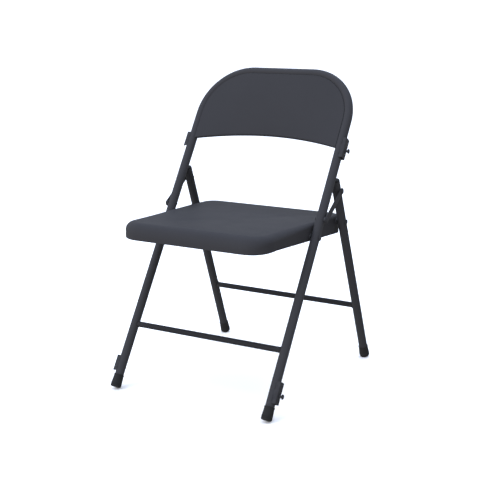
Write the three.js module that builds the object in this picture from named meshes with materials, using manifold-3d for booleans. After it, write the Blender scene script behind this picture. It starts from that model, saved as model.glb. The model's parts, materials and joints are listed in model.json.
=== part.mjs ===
// Steel folding chair: a bent-tube front frame with a sheet back panel, a pressed seat pan
// hinged between the tubes, a pair of rear legs hinged to the seat, and two folding links.
// Millimetres. +Y points to the back of the chair and +Z is up. Seen from in front of the chair,
// +X is to the right, and the pieces called left and right are named from that view.
// The origin is on the floor, on the plane of symmetry, midway between front and rear feet.
import * as THREE from 'three';
import { mergeVertices } from 'three/addons/utils/BufferGeometryUtils.js';
import Module from 'manifold-3d';

const wasm = await Module();
wasm.setup();

// ---- Driving dimensions ----

const CLEARANCE = 0.3; // between pieces that rest on each other

// Tubes
const TUBE_RADIUS = 11.1;
const TUBE_WALL = 1.2;
const TUBE_SIDES = 20;
const CROSSBAR_RADIUS = 7.2;
const CROSSBAR_WALL = 1.0;

// Front frame: lengths along the tube are measured from the centre of the foot's sole
const FRAME_HALF_WIDTH = 213;
const FRAME_LEAN = THREE.MathUtils.degToRad(32.3);
const FRAME_LENGTH = 885.5;
const FRAME_CORNER_RADIUS = 128;
const BEND_STEPS = 9;

// Rear legs
const REAR_HALF_WIDTH = 216;
const REAR_LEAN = THREE.MathUtils.degToRad(21.4);
const REAR_SPLAY = Math.atan(4 / 424); // each rear leg spreads outwards below its seat pivot
const REAR_TUBE_END = 540;

// Feet
const FOOT_SPREAD = 268; // from the middle of the chair to each sole centre
const SOLE_RADIUS = 13.3;
const SOLE_WEAR = 1.2; // height of the flat that the floor has worn on the rim
const SOLE_THICKNESS = 4;
const CAP_LENGTH = 32;
const CAP_MOUTH_RADIUS = 12.3;

// Crossbars and pivots, as lengths along their tubes
const CROSSBAR_AT = 165.5;
const SEAT_PIVOT_AT = 447.7;
const LINK_PIVOT_AT = 494.9;
const REAR_SEAT_PIVOT_AT = 424;
const REAR_LINK_PIVOT_AT = 513;

// Seat pan
const SEAT_HALF_WIDTH = 199.5;
const SEAT_FRONT = -265;
const SEAT_REAR = 157;
const SEAT_FRONT_CORNER = 58;
const SEAT_REAR_CORNER = 36;
const SEAT_SHEET = 1.2;
const SEAT_LIP = 5;
const SEAT_TOP_HEIGHT = 414.8; // above the middle of the chair
const SEAT_TOP_SLOPE = -0.026;
const SEAT_HEM_HEIGHT = 373.6;
const SEAT_HEM_SLOPE = -0.0591;
const SEAT_FRONT_DROP = 5.6; // the skirt is this much deeper across the front
const SEAT_DISH = 5;
const REAR_ROLL = 7; // radius of the bend from the seat's top into its skirt, at the rear
const FRONT_ROLL = 24;
const ROLL_GROWS_FROM = 40; // the bend's radius grows towards the front between these two lines
const ROLL_GROWS_TO = -210;
const DROP_STARTS = -190;

// Back panel
const PANEL_SHEET = 1.2;
const PANEL_INSET = 8.6; // from the frame tube's centre line to the panel's edge
const PANEL_PROUD = 8.9; // the panel's rim lies this far in front of the tube's centre line
const PANEL_SIDE_LOW = 681.5;
const PANEL_ARCH = 27.6;
const PANEL_HOLLOW = 18;

// Rivets, washers and links
const SHANK_RADIUS = 3.9;
const HOLE_RADIUS = 4.2;
const RIVET_HEAD_RADIUS = 7;
const RIVET_TAIL_RADIUS = 6;
const LINK_THICKNESS = 2.2;
const LINK_HALF_WIDTH = 8;
const LINK_GAP = 0.5; // between the links and the rear legs
const HINGE_PLATE_THICKNESS = 2;
const HINGE_PLATE_FRONT_RADIUS = 7;
const HINGE_PLATE_REAR_RADIUS = 7.5;
const SEAT_WASHER_RADIUS = 8;
const REAR_SPACER_RADIUS = 7.5;
const LINK_SPACER_RADIUS = 7;
const RIVET_SIDES = 16;

// Ganging brackets on the outer sides of the front tubes
const BRACKET_FACE = 229.5; // outer face, from the plane of symmetry
const BRACKET_SHEET = 1.5;
const BRACKET_HALF_WIDTH = 10;
const SOCKET_LENGTH = 39;
const STUD_BRACKET_LENGTH = 52;
const UPPER_BRACKET_AT = 657;
const LOWER_BRACKET_AT = 39.5;
const STUD_ABOVE_BRACKET = 20;
const STUD_RADIUS = 3;
const STUD_HEAD_RADIUS = 6;
const STUD_END = 239.5;
const SLOT_WIDTH = 7.5;

// ---- Materials ----

function paintedSteel() {
  return new THREE.MeshStandardMaterial({ color: 0x3d3e43, roughness: 0.48, metalness: 0.35 });
}

function blackRubber() {
  return new THREE.MeshStandardMaterial({ color: 0x1b1b1c, roughness: 0.85, metalness: 0 });
}

function blackPlastic() {
  return new THREE.MeshStandardMaterial({ color: 0x202022, roughness: 0.6, metalness: 0 });
}

function platedSteel() {
  return new THREE.MeshStandardMaterial({ color: 0x55565a, roughness: 0.4, metalness: 0.8 });
}

// ---- Geometry helpers ----

// A path through given points that places one ring of an extrusion at each of them.
class StationPath extends THREE.Curve {
  constructor(points) {
    super();
    this.points = points;
  }

  getPoint(t, target = new THREE.Vector3()) {
    const segments = this.points.length - 1;
    const index = Math.min(Math.floor(t * segments), segments - 1);
    return target.lerpVectors(this.points[index], this.points[index + 1], t * segments - index);
  }

  getUtoTmapping(u) {
    return u;
  }
}

function toSolid(geometry) {
  const bare = geometry.clone();
  bare.deleteAttribute('normal');
  bare.deleteAttribute('uv');
  const merged = mergeVertices(bare, 1e-4);
  const index = Array.from(merged.index.array);
  const triangles = [];
  for (let i = 0; i < index.length; i += 3) {
    const [a, b, c] = index.slice(i, i + 3);
    if (a !== b && b !== c && c !== a) {
      triangles.push(a, b, c);
    }
  }
  return new wasm.Manifold(new wasm.Mesh({
    numProp: 3,
    vertProperties: new Float32Array(merged.attributes.position.array),
    triVerts: new Uint32Array(triangles),
  }));
}

function cut(geometry, tools) {
  const solid = tools.reduce((rest, tool) => rest.subtract(toSolid(tool)), toSolid(geometry));
  const mesh = solid.getMesh();
  const result = new THREE.BufferGeometry();
  result.setAttribute('position', new THREE.BufferAttribute(mesh.vertProperties, 3));
  result.setIndex(new THREE.BufferAttribute(mesh.triVerts, 1));
  result.computeVertexNormals();
  return result;
}

function tube(points, radius, wall) {
  const ring = new THREE.Shape().absarc(0, 0, radius, 0, 2 * Math.PI);
  ring.holes.push(new THREE.Path().absarc(0, 0, radius - wall, 0, 2 * Math.PI, true));
  return new THREE.ExtrudeGeometry(ring, {
    steps: points.length - 1,
    curveSegments: TUBE_SIDES / 2,
    bevelEnabled: false,
    extrudePath: new StationPath(points),
  });
}

// A solid of revolution about X. The profile is a list of [distance along X, radius].
function turned(profile, sides) {
  const points = profile.map(([along, radius]) => new THREE.Vector2(radius, along));
  return new THREE.LatheGeometry(points, sides).rotateZ(-Math.PI / 2);
}

function ringAlongX(from, to, innerRadius, outerRadius) {
  const profile = [
    [from, innerRadius], [from, outerRadius], [to, outerRadius], [to, innerRadius], [from, innerRadius],
  ];
  return turned(profile, RIVET_SIDES);
}

function cylinderAlongX(from, to, radius) {
  return new THREE.CylinderGeometry(radius, radius, to - from, 16)
    .rotateZ(Math.PI / 2)
    .translate((from + to) / 2, 0, 0);
}

// The room that a frame tube takes in its own plane, with clearance all round.
function tubeRoom(halfWidth, side) {
  const radius = TUBE_RADIUS + CLEARANCE + 0.2;
  return new THREE.CylinderGeometry(radius, radius, 2 * FRAME_LENGTH, 32)
    .rotateX(Math.PI / 2)
    .translate(side * halfWidth, 0, 0);
}

// A flat strap with round ends in the YZ plane, from the origin to +Y, with a hole at each end.
function strap(length, startRadius, endRadius, thickness) {
  const tangent = Math.acos((startRadius - endRadius) / length);
  const outline = new THREE.Shape();
  outline.absarc(length, 0, endRadius, -tangent, tangent, false);
  outline.absarc(0, 0, startRadius, tangent, 2 * Math.PI - tangent, false);
  for (const centre of [0, length]) {
    outline.holes.push(new THREE.Path().absarc(centre, 0, HOLE_RADIUS, 0, 2 * Math.PI, true));
  }
  const geometry = new THREE.ExtrudeGeometry(outline, {
    depth: thickness,
    curveSegments: 8,
    bevelEnabled: false,
  });
  const axes = new THREE.Matrix4().makeBasis(
    new THREE.Vector3(0, 1, 0),
    new THREE.Vector3(0, 0, 1),
    new THREE.Vector3(1, 0, 0),
  );
  return geometry.applyMatrix4(axes);
}

// ---- Assembly tree ----

const chair = new THREE.Group();
chair.name = 'folding_chair';

// In each tube plane, local +Z runs up along the tubes and local +Y is behind them.
function tubePlane(y, soleHeight, turn) {
  const plane = new THREE.Group();
  plane.position.set(0, y, soleHeight);
  plane.rotation.x = turn;
  chair.add(plane);
  return plane;
}

const frontSoleHeight = SOLE_RADIUS * Math.sin(FRAME_LEAN) - SOLE_WEAR;
const rearSoleHeight = SOLE_RADIUS * Math.sin(REAR_LEAN) - SOLE_WEAR;
const frontPlane = tubePlane(-FOOT_SPREAD, frontSoleHeight, -FRAME_LEAN);
const rearPlane = tubePlane(FOOT_SPREAD, rearSoleHeight, REAR_LEAN);

function add(parent, name, geometry, material, x = 0, y = 0, z = 0) {
  const mesh = new THREE.Mesh(geometry, material);
  mesh.name = name;
  mesh.position.set(x, y, z);
  parent.add(mesh);
  return mesh;
}

function pointInPlane(plane, along) {
  plane.updateMatrix();
  return new THREE.Vector3(0, 0, along).applyMatrix4(plane.matrix);
}

const SIDES = [
  { name: 'left', sign: -1 },
  { name: 'right', sign: 1 },
];

// Places a piece that was turned about X for the right side on either side.
function addTurned(parent, name, geometry, material, sign, along) {
  const mesh = add(parent, name, geometry, material, 0, 0, along);
  mesh.rotation.z = sign > 0 ? 0 : Math.PI;
  return mesh;
}

// ---- Front frame ----

function frameTube() {
  const arcHalfWidth = FRAME_HALF_WIDTH - FRAME_CORNER_RADIUS;
  const arcHeight = FRAME_LENGTH - FRAME_CORNER_RADIUS;
  const right = [new THREE.Vector3(FRAME_HALF_WIDTH, 0, SOLE_THICKNESS + CLEARANCE)];
  for (let i = 0; i <= BEND_STEPS; i += 1) {
    const turn = (i / BEND_STEPS) * (Math.PI / 2);
    right.push(new THREE.Vector3(
      arcHalfWidth + FRAME_CORNER_RADIUS * Math.cos(turn),
      0,
      arcHeight + FRAME_CORNER_RADIUS * Math.sin(turn),
    ));
  }
  const left = right.map((point) => new THREE.Vector3(-point.x, 0, point.z)).reverse();
  const holes = [];
  for (const along of [SEAT_PIVOT_AT, LINK_PIVOT_AT]) {
    for (const { sign } of SIDES) {
      const reach = TUBE_RADIUS + 2;
      holes.push(cylinderAlongX(-reach, reach, HOLE_RADIUS).translate(sign * FRAME_HALF_WIDTH, 0, along));
    }
  }
  return cut(tube([...right, ...left], TUBE_RADIUS, TUBE_WALL), holes);
}

function crossbar(halfWidth) {
  const ends = [new THREE.Vector3(-halfWidth, 0, 0), new THREE.Vector3(halfWidth, 0, 0)];
  return cut(tube(ends, CROSSBAR_RADIUS, CROSSBAR_WALL), SIDES.map(({ sign }) => tubeRoom(halfWidth, sign)));
}

// The rim follows the frame at a constant inset; the lower edge arches up in the middle,
// and the sheet is hollowed towards the back, most of all along its lower edge.
function backPanel() {
  const straightRows = 4;
  const rows = straightRows + BEND_STEPS;
  const columns = 16;
  const arcHalfWidth = FRAME_HALF_WIDTH - FRAME_CORNER_RADIUS;
  const arcHeight = FRAME_LENGTH - FRAME_CORNER_RADIUS;
  const arcRadius = FRAME_CORNER_RADIUS - PANEL_INSET;
  const sheet = new THREE.BoxGeometry(2, PANEL_SHEET, rows, columns, 1, rows);
  const positions = sheet.attributes.position;
  for (let i = 0; i < positions.count; i += 1) {
    const across = positions.getX(i);
    const row = Math.round(positions.getZ(i) + rows / 2);
    let halfWidth = FRAME_HALF_WIDTH - PANEL_INSET;
    let height = THREE.MathUtils.lerp(PANEL_SIDE_LOW, arcHeight, row / straightRows);
    if (row > straightRows) {
      const turn = ((row - straightRows) / BEND_STEPS) * (Math.PI / 2);
      halfWidth = arcHalfWidth + arcRadius * Math.cos(turn);
      height = arcHeight + arcRadius * Math.sin(turn);
    }
    const crown = 1 - across * across;
    const fade = (arcHeight + arcRadius - height) / (arcHeight + arcRadius - PANEL_SIDE_LOW);
    const depth = PANEL_HOLLOW * crown * fade ** 1.4;
    positions.setXYZ(
      i,
      halfWidth * across,
      positions.getY(i) + PANEL_SHEET / 2 - PANEL_PROUD + depth,
      height + PANEL_ARCH * crown * fade ** 3,
    );
  }
  return sheet;
}

add(frontPlane, 'front_frame_tube', frameTube(), paintedSteel());
add(frontPlane, 'front_crossbar', crossbar(FRAME_HALF_WIDTH), paintedSteel(), 0, 0, CROSSBAR_AT);
add(frontPlane, 'back_panel', backPanel(), paintedSteel());

// ---- Ganging brackets ----

// A channel that opens towards the tube and is open at both ends, coped to fit the tube.
function channel(sign, length, cuts) {
  const face = BRACKET_FACE;
  const inner = face - BRACKET_SHEET;
  const root = FRAME_HALF_WIDTH + 3;
  const outer = BRACKET_HALF_WIDTH;
  const hollow = BRACKET_HALF_WIDTH - BRACKET_SHEET;
  const corners = [
    [root, -outer], [face, -outer], [face, outer], [root, outer],
    [root, hollow], [inner, hollow], [inner, -hollow], [root, -hollow],
  ];
  const outline = new THREE.Shape(corners.map(([x, y]) => new THREE.Vector2(sign * x, y)));
  const bar = new THREE.ExtrudeGeometry(outline, { depth: length, bevelEnabled: false });
  return cut(bar, [tubeRoom(FRAME_HALF_WIDTH, sign), ...cuts]);
}

// The slot lets a neighbouring chair's stud slide up into the channel from below.
function socket() {
  const reach = STUD_ABOVE_BRACKET + 1;
  const slot = new THREE.BoxGeometry(6, SLOT_WIDTH, 2 * reach).translate(-BRACKET_FACE, 0, 0);
  const slotEnd = cylinderAlongX(-BRACKET_FACE - 3, -BRACKET_FACE + 3, SLOT_WIDTH / 2).translate(0, 0, reach);
  return channel(-1, SOCKET_LENGTH, [slot, slotEnd]);
}

function studBracket() {
  const hole = cylinderAlongX(BRACKET_FACE - 3, BRACKET_FACE + 3, STUD_RADIUS + CLEARANCE);
  return channel(1, STUD_BRACKET_LENGTH, [hole.translate(0, 0, STUD_ABOVE_BRACKET)]);
}

function stud() {
  const wallInside = BRACKET_FACE - BRACKET_SHEET - CLEARANCE;
  return turned([
    [wallInside - 2.5, 0],
    [wallInside - 2.5, STUD_RADIUS + 1.6],
    [wallInside, STUD_RADIUS + 1.6],
    [wallInside, STUD_RADIUS],
    [STUD_END - 2.4, STUD_RADIUS],
    [STUD_END - 2.4, STUD_HEAD_RADIUS],
    [STUD_END - 0.8, STUD_HEAD_RADIUS],
    [STUD_END, STUD_HEAD_RADIUS - 1.6],
    [STUD_END, 0],
  ], RIVET_SIDES);
}

for (const [level, along] of [['upper', UPPER_BRACKET_AT], ['lower', LOWER_BRACKET_AT]]) {
  add(frontPlane, `${level}_left_ganging_socket`, socket(), paintedSteel(), 0, 0, along);
  add(frontPlane, `${level}_right_ganging_bracket`, studBracket(), paintedSteel(), 0, 0, along);
  add(frontPlane, `${level}_right_ganging_stud`, stud(), platedSteel(), 0, 0, along + STUD_ABOVE_BRACKET);
}

// ---- Rear legs ----

function rearHalfWidthAt(along) {
  return REAR_HALF_WIDTH + (REAR_SEAT_PIVOT_AT - along) * Math.tan(REAR_SPLAY);
}

function rearLegTube(sign) {
  const ends = [SOLE_THICKNESS + CLEARANCE, REAR_TUBE_END].map(
    (along) => new THREE.Vector3(sign * rearHalfWidthAt(along), 0, along),
  );
  const x = sign * REAR_HALF_WIDTH;
  const reach = TUBE_RADIUS + 2;
  const hole = cylinderAlongX(x - reach, x + reach, HOLE_RADIUS).translate(0, 0, REAR_SEAT_PIVOT_AT);
  return cut(tube(ends, TUBE_RADIUS, TUBE_WALL), [hole]);
}

// A plug with a low domed head closes the upper end of each rear leg.
function legPlug() {
  const stemRadius = TUBE_RADIUS - TUBE_WALL - CLEARANCE;
  return new THREE.LatheGeometry([
    new THREE.Vector2(0, -10),
    new THREE.Vector2(stemRadius - 1, -10),
    new THREE.Vector2(stemRadius, -8.5),
    new THREE.Vector2(stemRadius, CLEARANCE),
    new THREE.Vector2(TUBE_RADIUS, CLEARANCE),
    new THREE.Vector2(TUBE_RADIUS, 1.6),
    new THREE.Vector2(TUBE_RADIUS - 1.8, 2.8),
    new THREE.Vector2(TUBE_RADIUS - 5.5, 3.6),
    new THREE.Vector2(0, 3.9),
  ], TUBE_SIDES).rotateX(Math.PI / 2);
}

for (const { name, sign } of SIDES) {
  add(rearPlane, `${name}_rear_leg_tube`, rearLegTube(sign), paintedSteel());
  const plug = add(rearPlane, `${name}_rear_leg_plug`, legPlug(), blackPlastic(),
    sign * rearHalfWidthAt(REAR_TUBE_END), 0, REAR_TUBE_END);
  plug.rotation.y = -sign * REAR_SPLAY;
}
const rearBar = crossbar(rearHalfWidthAt(CROSSBAR_AT));
add(rearPlane, 'rear_crossbar', rearBar, paintedSteel(), 0, 0, CROSSBAR_AT);

// ---- Foot caps ----

// A flared boot over the tube's end, worn flat where its rim meets the floor.
function footCap(turn, splay, soleHeight) {
  const bore = TUBE_RADIUS + CLEARANCE;
  const boot = new THREE.LatheGeometry([
    new THREE.Vector2(0, 0),
    new THREE.Vector2(SOLE_RADIUS, 0),
    new THREE.Vector2(SOLE_RADIUS, 5),
    new THREE.Vector2(CAP_MOUTH_RADIUS, CAP_LENGTH - 1),
    new THREE.Vector2(CAP_MOUTH_RADIUS - 0.4, CAP_LENGTH),
    new THREE.Vector2(bore, CAP_LENGTH),
    new THREE.Vector2(bore, SOLE_THICKNESS),
    new THREE.Vector2(0, SOLE_THICKNESS),
  ], 24);
  boot.rotateX(Math.PI / 2).rotateY(splay).rotateX(turn).translate(0, 0, soleHeight);
  const floor = new THREE.BoxGeometry(60, 60, 40).translate(0, 0, -20);
  return cut(boot, [floor]);
}

for (const { name, sign } of SIDES) {
  add(chair, `${name}_front_foot_cap`, footCap(-FRAME_LEAN, 0, frontSoleHeight), blackRubber(),
    sign * FRAME_HALF_WIDTH, -FOOT_SPREAD, 0);
  add(chair, `${name}_rear_foot_cap`, footCap(REAR_LEAN, -sign * REAR_SPLAY, rearSoleHeight), blackRubber(),
    sign * rearHalfWidthAt(0), FOOT_SPREAD, 0);
}

// ---- Seat pan ----

// The seat's plan outline: points with outward normals, counterclockwise from the rear right.
function seatOutline() {
  const cornerSteps = 8;
  const corners = [
    { x: 1, y: 1, radius: SEAT_REAR_CORNER, from: 0 },
    { x: -1, y: 1, radius: SEAT_REAR_CORNER, from: 90 },
    { x: -1, y: -1, radius: SEAT_FRONT_CORNER, from: 180 },
    { x: 1, y: -1, radius: SEAT_FRONT_CORNER, from: 270 },
  ];
  const outline = [];
  for (const corner of corners) {
    const centreX = corner.x * (SEAT_HALF_WIDTH - corner.radius);
    const centreY = corner.y > 0 ? SEAT_REAR - corner.radius : SEAT_FRONT + corner.radius;
    for (let i = 0; i <= cornerSteps; i += 1) {
      const angle = THREE.MathUtils.degToRad(corner.from + (90 * i) / cornerSteps);
      const normal = new THREE.Vector2(Math.cos(angle), Math.sin(angle));
      const point = new THREE.Vector2(centreX, centreY).addScaledVector(normal, corner.radius);
      outline.push({ point, normal });
    }
    const next = corners[(corners.indexOf(corner) + 1) % corners.length];
    const last = outline[outline.length - 1];
    const nextX = next.x * (SEAT_HALF_WIDTH - next.radius);
    const nextY = next.y > 0 ? SEAT_REAR - next.radius : SEAT_FRONT + next.radius;
    const nextPoint = new THREE.Vector2(nextX, nextY).addScaledVector(last.normal, next.radius);
    for (const part of [1 / 3, 2 / 3]) {
      outline.push({ point: last.point.clone().lerp(nextPoint, part), normal: last.normal.clone() });
    }
  }
  return outline;
}

function seatTop(x, y) {
  const middle = (SEAT_FRONT + SEAT_REAR) / 2;
  const halfDepth = (SEAT_REAR - SEAT_FRONT) / 2;
  const acrossX = THREE.MathUtils.clamp(1 - (x / SEAT_HALF_WIDTH) ** 2, 0, 1);
  const acrossY = THREE.MathUtils.clamp(1 - ((y - middle) / halfDepth) ** 2, 0, 1);
  return SEAT_TOP_HEIGHT + SEAT_TOP_SLOPE * y - SEAT_DISH * acrossX * acrossY;
}

function seatHem(y) {
  const frontShare = THREE.MathUtils.smoothstep(-y, -DROP_STARTS, -SEAT_FRONT);
  return SEAT_HEM_HEIGHT + SEAT_HEM_SLOPE * y - SEAT_FRONT_DROP * frontShare;
}

// The pan's section from its centre underneath, round the hem, and back to its centre on top.
// Each station has an inset from the outline and a depth below the top, in millimetres,
// or a share of the way in to the centre.
function seatSection() {
  const rollSteps = 5;
  const spokes = [0.3, 0.55, 0.78];
  const section = [{ centre: 1, under: true }];
  for (const share of [...spokes].reverse()) {
    section.push({ centre: share, under: true });
  }
  for (let i = rollSteps; i >= 0; i -= 1) {
    section.push({ roll: (i / rollSteps) * (Math.PI / 2), under: true });
  }
  section.push({ inset: SEAT_SHEET, aboveHem: SEAT_SHEET });
  section.push({ inset: SEAT_LIP, aboveHem: SEAT_SHEET });
  section.push({ inset: SEAT_LIP, aboveHem: 0 });
  section.push({ inset: 0, aboveHem: 0 });
  for (let i = 0; i <= rollSteps; i += 1) {
    section.push({ roll: (i / rollSteps) * (Math.PI / 2), under: false });
  }
  for (const share of spokes) {
    section.push({ centre: share, under: false });
  }
  section.push({ centre: 1, under: false });
  return section;
}

function seatPoint({ point, normal }, station) {
  const frontShare = THREE.MathUtils.smoothstep(-point.y, -ROLL_GROWS_FROM, -ROLL_GROWS_TO);
  const roll = THREE.MathUtils.lerp(REAR_ROLL, FRONT_ROLL, frontShare);
  const sheet = station.under ? SEAT_SHEET : 0;
  if (station.aboveHem !== undefined) {
    const plan = point.clone().addScaledVector(normal, -station.inset);
    return new THREE.Vector3(plan.x, plan.y, seatHem(point.y) + station.aboveHem);
  }
  const inner = point.clone().addScaledVector(normal, -roll);
  if (station.roll !== undefined) {
    const bend = roll - sheet;
    const plan = inner.clone().addScaledVector(normal, bend * Math.cos(station.roll));
    const drop = roll - bend * Math.sin(station.roll);
    return new THREE.Vector3(plan.x, plan.y, seatTop(inner.x, inner.y) - drop);
  }
  const centre = new THREE.Vector2(0, (SEAT_FRONT + SEAT_REAR) / 2);
  const plan = inner.lerp(centre, station.centre);
  return new THREE.Vector3(plan.x, plan.y, seatTop(plan.x, plan.y) - sheet);
}

// A disc-shaped lathe is drawn out into the pan: each meridian follows one outline point.
function seatPan() {
  const outline = seatOutline();
  const section = seatSection();
  const profile = section.map((station, i) => new THREE.Vector2(station.centre === 1 ? 0 : 1, i));
  const pan = new THREE.LatheGeometry(profile, outline.length);
  const { position: positions } = pan.attributes;
  for (let i = 0; i < positions.count; i += 1) {
    const meridian = Math.floor(i / section.length) % outline.length;
    const { x, y, z } = seatPoint(outline[meridian], section[i % section.length]);
    positions.setXYZ(i, x, y, z);
  }
  const holes = [];
  for (const pivot of [seatPivot, rearSeatPivot]) {
    for (const { sign } of SIDES) {
      const wall = sign * SEAT_HALF_WIDTH;
      const reach = 2 * SEAT_SHEET;
      holes.push(cylinderAlongX(wall - reach, wall + reach, HOLE_RADIUS).translate(0, pivot.y, pivot.z));
    }
  }
  return cut(pan, holes);
}

const seatPivot = pointInPlane(frontPlane, SEAT_PIVOT_AT);
const linkPivot = pointInPlane(frontPlane, LINK_PIVOT_AT);
const rearSeatPivot = pointInPlane(rearPlane, REAR_SEAT_PIVOT_AT);
const rearLinkPivot = pointInPlane(rearPlane, REAR_LINK_PIVOT_AT);

add(chair, 'seat_pan', seatPan(), paintedSteel());

// ---- Hinge plates inside the seat's skirt, from the front pivot to the rear pivot ----

const plateInside = SEAT_HALF_WIDTH - SEAT_SHEET - CLEARANCE - HINGE_PLATE_THICKNESS;
const plateRun = rearSeatPivot.clone().sub(seatPivot);

for (const { name, sign } of SIDES) {
  const geometry = strap(plateRun.length(), HINGE_PLATE_FRONT_RADIUS, HINGE_PLATE_REAR_RADIUS,
    HINGE_PLATE_THICKNESS);
  const x = sign > 0 ? plateInside : -plateInside - HINGE_PLATE_THICKNESS;
  const plate = add(chair, `${name}_seat_hinge_plate`, geometry, paintedSteel(), x, seatPivot.y, seatPivot.z);
  plate.rotation.x = Math.atan2(plateRun.z, plateRun.y);
}

// ---- Links ----

const linkInside = REAR_HALF_WIDTH + TUBE_RADIUS + LINK_GAP;
const linkOutside = linkInside + LINK_THICKNESS;
const linkRun = rearLinkPivot.clone().sub(linkPivot);

for (const { name, sign } of SIDES) {
  const geometry = strap(linkRun.length(), LINK_HALF_WIDTH, LINK_HALF_WIDTH, LINK_THICKNESS);
  const x = sign > 0 ? linkInside : -linkOutside;
  const link = add(chair, `${name}_folding_link`, geometry, paintedSteel(), x, linkPivot.y, linkPivot.z);
  link.rotation.x = Math.atan2(linkRun.z, linkRun.y);
}

// ---- Pivot rivets and washers ----

// A rivet from its flat tail to its domed head, measured outwards from the plane of symmetry.
function rivet({ tailFrom, tailTo, headFrom, headTo }) {
  const crown = headTo - headFrom;
  return turned([
    [tailFrom, 0],
    [tailFrom, RIVET_TAIL_RADIUS - 0.6],
    [tailFrom + 0.6, RIVET_TAIL_RADIUS],
    [tailTo, RIVET_TAIL_RADIUS],
    [tailTo, SHANK_RADIUS],
    [headFrom, SHANK_RADIUS],
    [headFrom, RIVET_HEAD_RADIUS],
    [headFrom + crown * 0.35, RIVET_HEAD_RADIUS - 0.3],
    [headFrom + crown * 0.8, RIVET_HEAD_RADIUS * 0.66],
    [headTo, RIVET_HEAD_RADIUS * 0.3],
    [headTo, 0],
  ], RIVET_SIDES);
}

const frontTubeInside = FRAME_HALF_WIDTH - TUBE_RADIUS;
const frontTubeOutside = FRAME_HALF_WIDTH + TUBE_RADIUS;
const rearTubeInside = REAR_HALF_WIDTH - TUBE_RADIUS;
const rearTubeOutside = REAR_HALF_WIDTH + TUBE_RADIUS;
const seatTail = { tailFrom: plateInside - CLEARANCE - 2.5, tailTo: plateInside - CLEARANCE };
const washerFrom = SEAT_HALF_WIDTH + CLEARANCE;

function seatPivotRivet() {
  const headFrom = frontTubeOutside + CLEARANCE;
  return rivet({ ...seatTail, headFrom, headTo: headFrom + 2.4 });
}

function rearSeatPivotRivet() {
  const headFrom = rearTubeOutside + CLEARANCE;
  return rivet({ ...seatTail, headFrom, headTo: headFrom + 2.5 });
}

function linkPivotRivet() {
  const tailTo = frontTubeInside - CLEARANCE;
  const headFrom = linkOutside + CLEARANCE;
  return rivet({ tailFrom: tailTo - 1.5, tailTo, headFrom, headTo: headFrom + 2.5 });
}

// The link's upper rivet is short: it ends at the rear leg's outer side.
function linkEndRivet() {
  const headFrom = linkOutside + CLEARANCE;
  const headTo = headFrom + 2.5;
  return turned([
    [linkInside, 0],
    [linkInside, SHANK_RADIUS],
    [headFrom, SHANK_RADIUS],
    [headFrom, RIVET_HEAD_RADIUS],
    [headFrom + 0.9, RIVET_HEAD_RADIUS - 0.3],
    [headFrom + 2, RIVET_HEAD_RADIUS * 0.66],
    [headTo, RIVET_HEAD_RADIUS * 0.3],
    [headTo, 0],
  ], RIVET_SIDES);
}

function seatPivotWasher() {
  return ringAlongX(washerFrom, frontTubeInside - CLEARANCE, HOLE_RADIUS, SEAT_WASHER_RADIUS);
}

function rearSeatPivotSpacer() {
  return ringAlongX(washerFrom, rearTubeInside - CLEARANCE, HOLE_RADIUS, REAR_SPACER_RADIUS);
}

function linkPivotSpacer() {
  return ringAlongX(frontTubeOutside + CLEARANCE, linkInside - CLEARANCE, HOLE_RADIUS, LINK_SPACER_RADIUS);
}

for (const { name, sign } of SIDES) {
  const front = (piece, geometry, material, along) => {
    addTurned(frontPlane, `${name}_${piece}`, geometry, material, sign, along);
  };
  const rear = (piece, geometry, material, along) => {
    addTurned(rearPlane, `${name}_${piece}`, geometry, material, sign, along);
  };
  front('seat_pivot_rivet', seatPivotRivet(), platedSteel(), SEAT_PIVOT_AT);
  front('seat_pivot_washer', seatPivotWasher(), platedSteel(), SEAT_PIVOT_AT);
  front('link_pivot_rivet', linkPivotRivet(), platedSteel(), LINK_PIVOT_AT);
  front('link_pivot_spacer', linkPivotSpacer(), platedSteel(), LINK_PIVOT_AT);
  rear('rear_leg_pivot_rivet', rearSeatPivotRivet(), platedSteel(), REAR_SEAT_PIVOT_AT);
  rear('rear_leg_pivot_spacer', rearSeatPivotSpacer(), platedSteel(), REAR_SEAT_PIVOT_AT);
  rear('link_end_rivet', linkEndRivet(), platedSteel(), REAR_LINK_PIVOT_AT);
}

export default chair;
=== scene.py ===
"""Looks for the steel folding chair: smooth painted tubes, pressed sheet, rivets, welds and rubber feet.

Metres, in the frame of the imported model: +Y is the back of the chair, +Z is up, +X is to the right
as seen from in front. Tube planes: local X runs across, local Z up along the tubes, local Y behind them.
"""

import json
import math

import bmesh
import bpy
from mathutils import Matrix, Vector


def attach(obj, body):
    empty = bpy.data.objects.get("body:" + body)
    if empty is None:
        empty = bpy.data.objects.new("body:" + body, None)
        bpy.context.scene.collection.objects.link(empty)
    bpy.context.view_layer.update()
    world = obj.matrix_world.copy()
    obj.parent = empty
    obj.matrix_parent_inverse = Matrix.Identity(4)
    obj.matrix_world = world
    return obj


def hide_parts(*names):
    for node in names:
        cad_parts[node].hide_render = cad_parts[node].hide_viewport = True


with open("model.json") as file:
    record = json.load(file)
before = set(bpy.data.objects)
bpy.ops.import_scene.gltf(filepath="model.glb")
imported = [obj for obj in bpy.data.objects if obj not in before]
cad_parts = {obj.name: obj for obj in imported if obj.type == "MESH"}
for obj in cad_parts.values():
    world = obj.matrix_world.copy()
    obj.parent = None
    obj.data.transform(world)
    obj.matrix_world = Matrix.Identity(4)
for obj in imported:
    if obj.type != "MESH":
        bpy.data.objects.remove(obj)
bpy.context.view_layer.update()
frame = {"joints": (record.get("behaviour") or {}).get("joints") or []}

# ---- Driving dimensions ----

# Tubes
TUBE_RADIUS = 0.0111
TUBE_SIDES = 64
CROSSBAR_RADIUS = 0.0072
CROSSBAR_SIDES = 40
CROSSBAR_SINK = 0.0035

# The frame tube is thinner by this much, so that its smooth bend stays inside the faceted CAD one
FACET_MARGIN = 0.00004

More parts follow.
